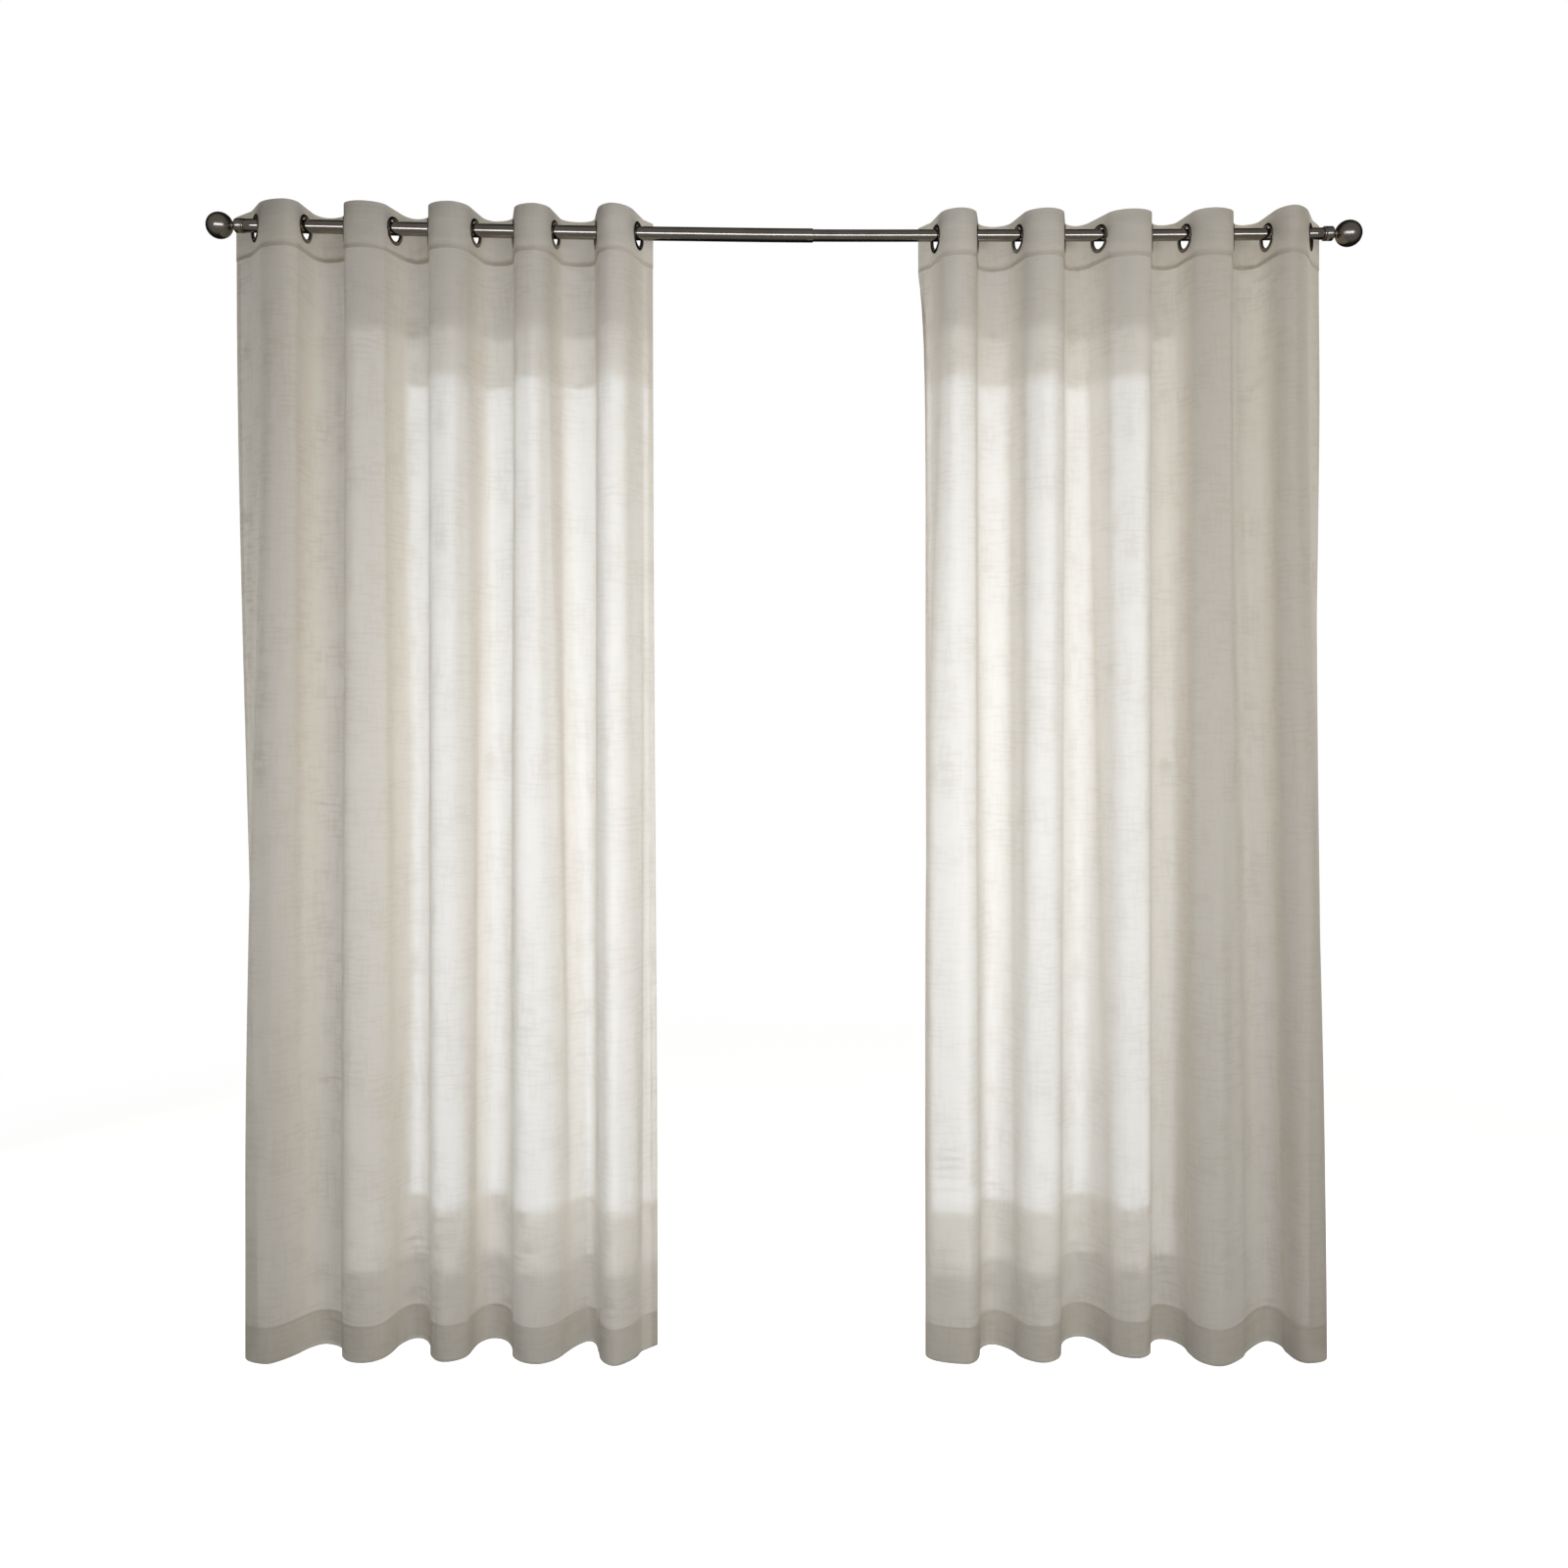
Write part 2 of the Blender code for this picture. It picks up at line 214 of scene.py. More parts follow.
for box in SOFT_BOXES:
    add_softbox(box).visible_glossy = False
strip = add_softbox(STRIP)
strip.visible_diffuse = False
strip.visible_transmission = False


# Rod tubes
# Two thin steel tubes, plated in dark nickel and brushed along their length. The narrower one
# slides in the wider one, whose lip is turned in a little, and together they sag towards that joint.
MM = 0.001
OUTER_TUBE_RADIUS = 12.7
INNER_TUBE_RADIUS = 11.1
TUBE_WALL = 1.0
ROD_STEP_X = 54.0
INNER_TUBE_END_X = -52.0
TUBE_END_X = 1008.2
TUBE_SIDES = 64
TUBE_PITCH = 16.0
LIP_ROUNDING = 0.5
LIP_STEP = 0.15
LIP_DROP = 0.2

Level = namedtuple("Level", "x z")
ROD_LEVELS = (
    Level(-1055, 18.7),
    Level(-860, 16.0),
    Level(-700, 11.8),
    Level(-385, 5.2),
    Level(-185, 2.4),
    Level(0, 0.0),
    Level(365, -0.4),
    Level(700, 0.5),
    Level(860, 1.8),
    Level(1055, 3.7),
)

NICKEL_DARK = "857F76"
NICKEL_LIGHT = "938D84"
BRUSH_LINE_MM = 0.9
BRUSH_RUN_ALONG = 6.0
BRUSH_RUN_ROUND = 40.0
TARNISH_SCALE = 28.0


def rod_height(x):
    """Height of the rod's centre line at x: a smooth curve through the rows of ROD_LEVELS."""
    xs = np.array([level.x for level in ROD_LEVELS], float)
    zs = np.array([level.z for level in ROD_LEVELS], float)
    slopes = np.gradient(zs, xs)
    i = np.clip(np.searchsorted(xs, x) - 1, 0, len(xs) - 2)
    span = xs[i + 1] - xs[i]
    t = (x - xs[i]) / span
    start = (1 + 2 * t) * (1 - t) ** 2 * zs[i] + t * (1 - t) ** 2 * span * slopes[i]
    end = t**2 * (3 - 2 * t) * zs[i + 1] + t**2 * (t - 1) * span * slopes[i + 1]
    return start + end


def brushed_metal(name, lengthwise, smoothest, roughest):
    """Satin nickel plate, a soft warm grey sheen. Its brush lines run along the tubes, and round what
    was turned on a lathe. Real ones, about 0.1 mm apart, are too fine to show, so these are coarser.
    """
    material, tree = new_material(name)
    place = add_node(tree, "ShaderNodeTexCoord").outputs["Object"]
    across = 1 / (BRUSH_LINE_MM * MM)
    if lengthwise:
        scale = (BRUSH_RUN_ALONG, across, across)
    else:
        scale = (across, BRUSH_RUN_ROUND, BRUSH_RUN_ROUND)
    stretched = add_node(
        tree, "ShaderNodeVectorMath", {0: place, 1: scale}, operation="MULTIPLY"
    ).outputs[0]
    lines = add_node(
        tree, "ShaderNodeTexNoise", {"Vector": stretched, "Scale": 1.0, "Detail": 2.0}
    ).outputs["Fac"]
    tarnish = add_node(
        tree, "ShaderNodeTexNoise", {"Vector": place, "Scale": TARNISH_SCALE, "Detail": 3.0}
    ).outputs["Fac"]
    tone = add_node(
        tree,
        "ShaderNodeMapRange",
        {"Value": tarnish, "From Min": 0.3, "From Max": 0.7},
    ).outputs["Result"]
    colour = add_node(
        tree, "ShaderNodeMixRGB", {0: tone, 1: paint(NICKEL_DARK), 2: paint(NICKEL_LIGHT)}
    ).outputs[0]
    rough = add_node(
        tree,
        "ShaderNodeMapRange",
        {
            "Value": lines,
            "From Min": 0.25,
            "From Max": 0.75,
            "To Min": smoothest,
            "To Max": roughest,
        },
    ).outputs["Result"]
    bump = add_node(
        tree, "ShaderNodeBump", {"Height": lines, "Strength": 0.05, "Distance": 0.0002}
    ).outputs["Normal"]
    surface = add_node(
        tree,
        "ShaderNodeBsdfPrincipled",
        {"Base Color": colour, "Metallic": 1.0, "Roughness": rough, "Normal": bump},
    ).outputs["BSDF"]
    add_node(tree, "ShaderNodeOutputMaterial", {"Surface": surface})
    return material


def add_piece(name, data, material, replaced):
    """A finished piece, which rides with the rod and stands for the CAD nodes named."""
    piece = bpy.data.objects.new(name, data)
    data.materials.append(material)
    bpy.context.scene.collection.objects.link(piece)
    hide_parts(*replaced)
    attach(piece, "root")
    return piece


def skin_mesh(name, rings, closed_profile):
    """A smooth quad mesh over rings of points in millimetres, each ring closed on itself."""
    rings = np.asarray(rings, float)
    count, sides = rings.shape[:2]
    last = count if closed_profile else count - 1
    faces = []
    for i in range(last):
        here, there = i * sides, (i + 1) % count * sides
        for j in range(sides):
            k = (j + 1) % sides
            faces.append((here + j, here + k, there + k, there + j))
    data = bpy.data.meshes.new(name)
    data.from_pydata((rings.reshape(-1, 3) * MM).tolist(), [], faces)
    data.shade_smooth()
    return data


def tube_mesh(name, start_x, end_x, radius):
    """Outside, rounded lip, bore and lip again, as one closed skin that follows the centre line."""
    bore = radius - TUBE_WALL
    middle = (radius + bore) / 2
    steps = max(2, round((end_x - start_x) / TUBE_PITCH))
    run = np.linspace(start_x + LIP_ROUNDING, end_x - LIP_ROUNDING, steps + 1)
    section = [(start_x, middle), (start_x + LIP_STEP, radius - LIP_DROP)]
    section += [(x, radius) for x in run]
    section += [(end_x - LIP_STEP, radius - LIP_DROP), (end_x, middle)]
    section += [(end_x - LIP_STEP, bore + LIP_DROP)]
    section += [(x, bore) for x in run[::-1]]
    section += [(start_x + LIP_STEP, bore + LIP_DROP)]
    angles = np.linspace(0, 2 * np.pi, TUBE_SIDES, endpoint=False)
    rings = [
        np.column_stack((np.full(TUBE_SIDES, x), r * np.cos(angles), r * np.sin(angles) + rod_height(x)))
        for x, r in section
    ]
    return skin_mesh(name, rings, closed_profile=True)


satin_tube = brushed_metal(
    "dark_nickel_brushed_lengthwise", lengthwise=True, smoothest=0.10, roughest=0.17
)
outer = tube_mesh("outer_rod_tube", -TUBE_END_X, ROD_STEP_X, OUTER_TUBE_RADIUS)
inner = tube_mesh("inner_rod_tube", INNER_TUBE_END_X, TUBE_END_X, INNER_TUBE_RADIUS)
add_piece("outer_rod_tube", outer, satin_tube, ["rod_outer_tube"])
add_piece("inner_rod_tube", inner, satin_tube, ["rod_inner_tube"])


# Finials
# Solid balls turned from one bar with a narrow neck and a stepped collar, whose plug pushes into the
# tube's end. Same nickel plate, with a softer sheen than the tubes.
FINIAL_CENTRE_X = 1055.5
BALL_RADIUS = 24.6
NECK_RADIUS = 6.4
NECK_END = 26.5
COLLAR_RADIUS = 13.5
COLLAR_START = 31.0
COLLAR_END = 47.0
PLUG_END = 72.0
PLUG_SLACK = 0.5
ON_AXIS = 0.001
GROOVE_START = 42.6
GROOVE_DEPTH = 0.7
FINIAL_STEPS = 64
BALL_RINGS = 30

satin_finial = brushed_metal("dark_nickel_turned", lengthwise=False, smoothest=0.20, roughest=0.28)


def finial_profile(tube_radius):
    """(radius, height) down from the plug's end to the tip of the ball."""
    plug = tube_radius - TUBE_WALL - PLUG_SLACK
    profile = [
        (ON_AXIS, PLUG_END),
        (plug - 0.8, PLUG_END),
        (plug, PLUG_END - 0.8),
        (plug, COLLAR_END),
        (COLLAR_RADIUS - 0.8, COLLAR_END),
        (COLLAR_RADIUS - 0.2, COLLAR_END - 0.2),
        (COLLAR_RADIUS, COLLAR_END - 0.8),
        (COLLAR_RADIUS, GROOVE_START + 0.9),
        (COLLAR_RADIUS - GROOVE_DEPTH, GROOVE_START + 0.6),
        (COLLAR_RADIUS - GROOVE_DEPTH, GROOVE_START),
        (COLLAR_RADIUS, GROOVE_START - 0.3),
        (COLLAR_RADIUS, COLLAR_START + 0.6),
        (COLLAR_RADIUS - 0.3, COLLAR_START - 0.2),
        (COLLAR_RADIUS - 2.6, COLLAR_START - 2.2),
        (NECK_RADIUS + 0.7, NECK_END + 0.5),
        (NECK_RADIUS, NECK_END - 0.4),
    ]
    neck_angle = math.asin(NECK_RADIUS / BALL_RADIUS)
    for angle in np.linspace(neck_angle, math.pi, BALL_RINGS, endpoint=False):
        profile.append((BALL_RADIUS * math.sin(angle), BALL_RADIUS * math.cos(angle)))
    profile.append((ON_AXIS, -BALL_RADIUS))
    return profile


def turned_mesh(name, profile, steps, closed_profile=False):
    angles = np.linspace(0, 2 * np.pi, steps, endpoint=False)
    rings = [
        np.column_stack((r * np.cos(angles), r * np.sin(angles), np.full(steps, h)))
        for r, h in profile
    ]
    return skin_mesh(name, rings, closed_profile)


for side, inward, radius in (("left", 1.0, OUTER_TUBE_RADIUS), ("right", -1.0, INNER_TUBE_RADIUS)):
    data = turned_mesh(f"ball_finial_{side}", finial_profile(radius), FINIAL_STEPS)
    centre_x = -inward * FINIAL_CENTRE_X
    reach = centre_x + inward * PLUG_END
    axis = Vector((reach - centre_x, 0.0, rod_height(reach) - rod_height(centre_x))).normalized()
    turn = axis.to_track_quat("Z", "Y").to_matrix().to_4x4()
    data.transform(Matrix.Translation(Vector((centre_x, 0.0, rod_height(centre_x))) * MM) @ turn)
    add_piece(f"ball_finial_{side}", data, satin_finial, [f"finial_{side}"])


# Voile panels
# Each is one cut of sheer slub voile, with a hem of 67 mm turned twice at its foot, and side hems of
# 15 mm. It hangs in the folds that its heading gives it, and they run down unevenly to the hem.
DROP_LEVEL = -2087.0
HEADING_HEIGHT = 86.0
TUCK = 8.0
BOTTOM_HEM = 67.0
SIDE_HEM_STEPS = np.array([0.0, 4.9, 9.8, 14.7])
HEM_LAYER = 1.0
SIDE_HEM_LAYER = 0.5
EYELET_DEPTH = 40.0
EYELET_HOLE_RADIUS = 18.6
EYELET_SLACK = 0.6
EYELET_STEPS = 16
FLAT_HALF_WIDTH = 27.5
HEM_FLAT_HALF_WIDTH = 10.0
TURN_ROUNDNESS = 0.55
TURN_PIECES = 12
FLANK_PIECES = 4
TURN_SHARE = 4 / 9
FLANK_SHARE = 1 / 9
DROP_ROWS = 96
HEM_ROWS = 9
DROP_CROWDING = 1.25

# One row for each eyelet, from the left: the turn of cloth before it, the eyelet, and that fold at the
# hem. x runs along the rod, y is the depth behind it, an angle is that of the cloth to the rod, and
# settles is the share of the drop in which the fold goes from its shape at the heading to that below.
Fold = namedtuple(
    "Fold", "turn_x turn_y eyelet_x angle hem_turn_x hem_turn_y hem_x hem_y hem_angle settles"
)
Edge = namedtuple("Edge", "x y hem_x hem_y settles")
LEFT_FOLDS = (
    Fold(-1046, 56, -988, 55, -998, 36, -1000, -6, 88, 1.00),
    Fold(-920, -47, -895, 84, -950, -49, -903, -5, 58, 1.00),
    Fold(-868, 55, -821, 75, -866, 28, -824, -5, 74, 1.00),
    Fold(-778, -46, -729, 73, -779, -46, -730, 3, 78, 1.00),
    Fold(-699, 48, -664, 76, -698, 51, -662, 5, 77, 1.00),
    Fold(-614, -55, -577, 79, -625, -42, -583, 5, 81, 1.00),
    Fold(-550, 50, -505, 76, -553, 51, -508, 0, 80, 1.00),
    Fold(-460, -53, -428, 80, -453, -50, -405, -4, 62, 1.00),
    Fold(-389, 46, -351, 77, -370, 39, -346, -5, 80, 1.00),
    Fold(-315, -61, -273, 76, -310, -56, -268, -8, 66, 1.00),
)
LEFT_EDGE = Edge(-250, 50, -238, 26, 1.00)
RIGHT_FOLDS = (
    Fold(257, 58, 284, 77, 271, 40, 265, -2, 96, 0.05),
    Fold(325, -54, 361, 79, 334, -49, 364, -10, 80, 1.00),
    Fold(399, 51, 438, 75, 394, 26, 432, -8, 62, 1.00),
    Fold(484, -53, 524, 77, 478, -45, 520, 8, 79, 1.00),
    Fold(556, 47, 590, 66, 564, 58, 607, 8, 72, 1.00),
    Fold(643, -47, 687, 75, 654, -28, 688, 12, 76, 1.00),
    Fold(717, 45, 750, 77, 717, 48, 755, -5, 84, 1.00),
    Fold(791, -50, 839, 73, 797, -58, 856, -14, 52, 1.00),
    Fold(872, 48, 903, 82, 917, 40, 938, 0, 88, 1.00),
    Fold(933, -60, 984, 62, 963, -46, 1007, -8, 90, 1.00),
)
RIGHT_EDGE = Edge(1022, 56, 1000, 44, 1.00)

# Soft unevenness of the hanging cloth: width of a wave across it, how far the wave drifts along the
# cloth for each metre of drop, and its height.
Ripple = namedtuple("Ripple", "width drift height phase")
RIPPLES = (
    Ripple(71, 24, 1.1, 0.4),
    Ripple(47, -17, 0.7, 2.1),
    Ripple(133, 41, 1.5, 4.0),
)
RIPPLES_GROWN = 300.0
RIPPLES_FADE = 1650.0
RIPPLES_LOST = 0.6

VOILE_IVORY = "CEC7B8"
VOILE_LIT = "E8E4DC"
SLUB_LIT = "DAD6CD"
SLUB_LENGTH_MM = 46.0
SLUB_PITCH_MM = 6.0
SLUB_START = 0.51
SLUB_FULL = 0.61
WARP_SLUBS = 0.6
SLUB_CLOSES = 0.5
SLUB_DIMS = 2.0
PATCH_MM = 90.0


def tube_radius(x):
    return np.where(np.asarray(x) < ROD_STEP_X, OUTER_TUBE_RADIUS, INNER_TUBE_RADIUS)


def eyelet_height(x):
    """An eyelet hangs with the top of its hole just clear of the tube."""
    lowest_reach = EYELET_HOLE_RADIUS * math.cos(math.pi / EYELET_STEPS)
    return rod_height(x) - (lowest_reach - tube_radius(x) - EYELET_SLACK)


def heading_top(x):
    return eyelet_height(x) + EYELET_DEPTH


def smooth(t):
    t = np.clip(t, 0.0, 1.0)
    return t * t * (3 - 2 * t)


def quarter_turn(start, direction, end):
    """Points of a rounded quarter turn that leaves start along direction and meets end running along X."""
    corner = start + direction * (end[1] - start[1]) / direction[1]
    handle_a = start + TURN_ROUNDNESS * (corner - start)
    handle_b = end + TURN_ROUNDNESS * (corner - end)
    t = np.linspace(0, 1, TURN_PIECES + 1)[1:, None]
    near = (1 - t) ** 3 * start + 3 * t * (1 - t) ** 2 * handle_a
    return near + 3 * t**2 * (1 - t) * handle_b + t**3 * end


def plan_of_folds(turns, flanks, half_width):
    """Plan of a hanging cloth: for each flank, the turn of cloth before it and its own straight part.

    turns are the crests and troughs, with the cloth's two side edges first and last. flanks are
    (centre, angle), each between two turns. Gives the points, and the fold number that each is at.
    """
    points, numbers = [np.array([turns[0]])], [np.zeros(1)]
    for i, (centre, angle) in enumerate(flanks):
        forward = -1.0 if turns[i + 1][1] < turns[i][1] else 1.0
        slope = math.radians(angle)
        direction = np.array([math.cos(slope), forward * math.sin(slope)])
        start = centre - half_width * direction
        end = centre + half_width * direction
        share = np.linspace(0, 1, TURN_PIECES + 1)[1:]
        if i == 0:
            points.append(turns[0] + (start - turns[0]) * share[:, None])
        else:
            back = quarter_turn(start, -direction, turns[i])[:-1]
            points.append(np.vstack((back[::-1], start)))
        numbers.append(i + TURN_SHARE * share)
        share = np.linspace(0, 1, FLANK_PIECES + 1)[1:]
        points.append(start + (end - start) * share[:, None])
        numbers.append(i + TURN_SHARE + FLANK_SHARE * share)
        share = np.linspace(0, 1, TURN_PIECES + 1)[1:]
        if i == len(flanks) - 1:
            points.append(end + (turns[-1] - end) * share[:, None])
        else:
            points.append(quarter_turn(end, direction, turns[i + 1]))
        numbers.append(i + TURN_SHARE + FLANK_SHARE + TURN_SHARE * share)
    return np.vstack(points), np.concatenate(numbers)


def heading_plan(folds, edge):
    turns = [np.array([f.turn_x, f.turn_y], float) for f in folds] + [np.array([edge.x, edge.y], float)]
    flanks = [(np.array([f.eyelet_x, 0.0]), f.angle) for f in folds]
    return plan_of_folds(turns, flanks, FLAT_HALF_WIDTH)


def hem_plan(folds, edge):
    turns = [np.array([f.hem_turn_x, f.hem_turn_y], float) for f in folds]
    turns.append(np.array([edge.hem_x, edge.hem_y], float))
    flanks = [(np.array([f.hem_x, f.hem_y], float), f.hem_angle) for f in folds]
    return plan_of_folds(turns, flanks, HEM_FLAT_HALF_WIDTH)


def arc_lengths(points):
    steps = np.linalg.norm(np.diff(points, axis=0), axis=1)
    return np.concatenate(([0.0], np.cumsum(steps)))


def back_normals(grid):
    """Unit normals of a grid of points, on the back of the cloth."""
    across = np.gradient(grid, axis=1)
    down = np.gradient(grid, axis=0)
    normal = np.cross(across, down)
    return normal / np.linalg.norm(normal, axis=2, keepdims=True)


def cloth_mesh(name, grid, flat):
    """A quad sheet over a grid of points in millimetres, unwrapped to its flat size in metres."""
    rows, columns = grid.shape[:2]
    index = np.arange(rows * columns).reshape(rows, columns)
    corners = (index[:-1, :-1], index[1:, :-1], index[1:, 1:], index[:-1, 1:])
    quads = np.stack(corners, axis=-1).reshape(-1, 4)
    data = bpy.data.meshes.new(name)
    data.from_pydata((grid.reshape(-1, 3) * MM).tolist(), [], quads.tolist())
    layer = data.uv_layers.new(name="flat cloth")
    layer.data.foreach_set("uv", (flat.reshape(-1, 2) * MM)[quads.reshape(-1)].ravel())
    data.shade_smooth()
    return data


def slub_voile(name, colour, glow_colour, openness, glow_share, swing):
    """Plain-woven polyester voile with slub yarns both ways, a soft dry cloth that lets light through.

    The real threads, about 0.4 mm apart, are too fine to show, so only the slubs are drawn: short thick
    places in the yarns, more of them in the weft, in patches. They stop and tint some of the light.
    """
    material, tree = new_material(name)
    flat = add_node(tree, "ShaderNodeUVMap", uv_map="flat cloth").outputs["UV"]
    along, across = 1 / (SLUB_LENGTH_MM * MM), 1 / (SLUB_PITCH_MM * MM)
    yarns = []
    for scale, share in (((along, across, 1.0), 1.0), ((across, along, 1.0), WARP_SLUBS)):
        stretched = add_node(
            tree, "ShaderNodeVectorMath", {0: flat, 1: scale}, operation="MULTIPLY"
        ).outputs[0]
        thickness = add_node(
            tree, "ShaderNodeTexNoise", {"Vector": stretched, "Scale": 1.0, "Detail": 1.0}
        ).outputs["Fac"]
        thick = add_node(
            tree,
            "ShaderNodeMapRange",
            {"Value": thickness, "From Min": SLUB_START, "From Max": SLUB_FULL, "To Max": share},
        ).outputs["Result"]
        yarns.append(thick)
    crossed = add_node(tree, "ShaderNodeMath", {0: yarns[0], 1: yarns[1]}, operation="ADD").outputs[0]
    patches = add_node(
        tree, "ShaderNodeTexNoise", {"Vector": flat, "Scale": 1 / (PATCH_MM * MM), "Detail": 2.0}
    ).outputs["Fac"]
    uneven = add_node(
        tree, "ShaderNodeMapRange", {"Value": patches, "From Min": 0.4, "From Max": 0.6, "To Min": 0.3}
    ).outputs["Result"]
    slub = add_node(tree, "ShaderNodeMath", {0: crossed, 1: uneven}, operation="MULTIPLY").outputs[0]
    open_weave = add_node(
        tree, "ShaderNodeMath", {0: slub, 1: -SLUB_CLOSES * swing, 2: openness}, operation="MULTIPLY_ADD"
    ).outputs[0]
    lit_weave = add_node(
        tree, "ShaderNodeMath", {0: slub, 1: -SLUB_DIMS * swing, 2: glow_share}, operation="MULTIPLY_ADD"
    ).outputs[0]
    bump = add_node(
        tree, "ShaderNodeBump", {"Height": crossed, "Strength": 0.15, "Distance": 0.0004}
    ).outputs["Normal"]
    front = add_node(
        tree,
        "ShaderNodeBsdfPrincipled",
        {
            "Base Color": paint(colour),
            "Roughness": 0.85,
            "Specular IOR Level": 0.15,
            "Sheen Weight": 0.08,
            "Sheen Roughness": 0.5,
            "Normal": bump,
        },
    ).outputs["BSDF"]
    let_through = add_node(
        tree, "ShaderNodeMixRGB", {0: slub, 1: paint(glow_colour), 2: paint(SLUB_LIT)}
    ).outputs[0]
    through = add_node(
        tree, "ShaderNodeBsdfTranslucent", {"Color": let_through, "Normal": bump}
    ).outputs[0]
    threads = add_node(tree, "ShaderNodeMixShader", {0: lit_weave, 1: front, 2: through}).outputs[0]
    gaps = add_node(tree, "ShaderNodeBsdfTransparent", {"Color": paint("FFFFFF")}).outputs[0]
    surface = add_node(tree, "ShaderNodeMixShader", {0: open_weave, 1: threads, 2: gaps}).outputs[0]
    add_node(tree, "ShaderNodeOutputMaterial", {"Surface": surface})
    return material


def drape(folds, edge):
    """The panel's front layer as rows of points, its normals, and where each point is on the flat cloth."""
    head, numbers = heading_plan(folds, edge)
    hem = hem_plan(folds, edge)[0]
    pace = np.interp(numbers, range(len(folds) + 1), [f.settles for f in folds] + [edge.settles])
    flat_x = (arc_lengths(head) + arc_lengths(hem)) / 2

    top = heading_top(head[:, 0]) - HEADING_HEIGHT
    drop = top - DROP_LEVEL
    hem_share = BOTTOM_HEM / drop.mean()
    shares = np.concatenate(
        (
            (-TUCK / drop.mean(),),
            np.linspace(0, 1, DROP_ROWS) ** DROP_CROWDING * (1 - hem_share),
            1 - np.linspace(hem_share, 0, HEM_ROWS + 1)[1:],
        )
    )[:, None]
    blend = smooth(shares / pace)
    x = head[:, 0] + (hem[:, 0] - head[:, 0]) * blend
    y = head[:, 1] + (hem[:, 1] - head[:, 1]) * blend
    fallen = drop * shares
    grid = np.stack((x, y, top - fallen), axis=-1)

    faded = RIPPLES_LOST * smooth((fallen - RIPPLES_FADE) / RIPPLES_GROWN)
    grown = smooth(fallen / RIPPLES_GROWN) * (1 - faded)
    ripple = sum(
        r.height * np.sin(2 * np.pi * (flat_x + r.drift * fallen / 1000) / r.width + r.phase)
        for r in RIPPLES
    )
    grid += back_normals(grid) * (ripple * grown)[..., None]
    flat = np.stack(np.broadcast_arrays(flat_x, HEADING_HEIGHT + fallen), axis=-1)
    return grid, back_normals(grid), flat


def along_row(row, values, places):
    """Values of a row of cloth at the given distances along it."""
    run = arc_lengths(row)
    return np.stack([np.interp(places, run, column) for column in values.T], axis=-1)


def turn_hems(grid, normals, flat):
    """Adds the layers that the hems turn to the back. Also gives the quads that they are made of."""
    front_rows = len(grid)
    up = np.arange(front_rows - 1, front_rows - 2 - HEM_ROWS, -1)
    tuck = up[:0:-1]
    layers = [
        grid,
        grid[up] + normals[up] * HEM_LAYER,
        grid[tuck] + normals[tuck] * HEM_LAYER / 2,
    ]
    order = np.concatenate((np.arange(front_rows), up, tuck))
    grid, normals, flat = np.concatenate(layers), normals[order], flat[order]

    sides = []
    for from_left in (True, False):
        points, places = [], []
        for row, row_normals, row_flat in zip(grid, normals, flat):
            reach = SIDE_HEM_STEPS[::-1] if from_left else arc_lengths(row)[-1] - SIDE_HEM_STEPS
            facing = along_row(row, row_normals, reach)
            points.append(along_row(row, row, reach) + facing * SIDE_HEM_LAYER)
            places.append(along_row(row, row_flat, reach))
        sides.append((np.array(points), np.array(places)))
    (left, left_flat), (right, right_flat) = sides
    grid = np.concatenate((left, grid, right), axis=1)
    flat = np.concatenate((left_flat, flat, right_flat), axis=1)

    turned = np.zeros((grid.shape[0] - 1, grid.shape[1] - 1), int)
    turned[front_rows - 1 :] = 1
    turned[:, : len(SIDE_HEM_STEPS)] = 1
    turned[:, -len(SIDE_HEM_STEPS) :] = 1
    return grid, flat, turned


def hang_panel(side, folds, edge, cloth, turned_cloth):
    front, normals, front_flat = drape(folds, edge)
    grid, flat, turned = turn_hems(front, normals, front_flat)
    data = cloth_mesh(f"voile_panel_{side}", grid, flat)
    panel = add_piece(f"voile_panel_{side}", data, cloth, [f"curtain_{side}"])
    data.materials.append(turned_cloth)
    data.polygons.foreach_set("material_index", turned.ravel())


voile = slub_voile(
    "slub_voile_woven", VOILE_IVORY, VOILE_LIT, openness=0.05, glow_share=0.39, swing=0.04
)
voile_behind = slub_voile(
    "slub_voile_turned_under", VOILE_IVORY, VOILE_LIT, openness=0.68, glow_share=0.39, swing=0.04
)
hang_panel("left", LEFT_FOLDS, LEFT_EDGE, voile, voile_behind)
hang_panel("right", RIGHT_FOLDS, RIGHT_EDGE, voile, voile_behind)


# Headings
# The top of each panel, folded double over a thin stiffener and stitched along its foot, with a round
# hole punched for each eyelet. It is denser than the panel, so less light comes through it.
HEADING_THICKNESS = 2.0
HOLE_RADIUS = 20.3
HEADING_ROWS = 16
HOLE_RINGS = 4
HOLE_COLUMNS = 10
EDGE_ROUNDING = 0.8
HEADING_COLOUR = "DCD7CB"
HEADING_LIT = "E9E4D9"


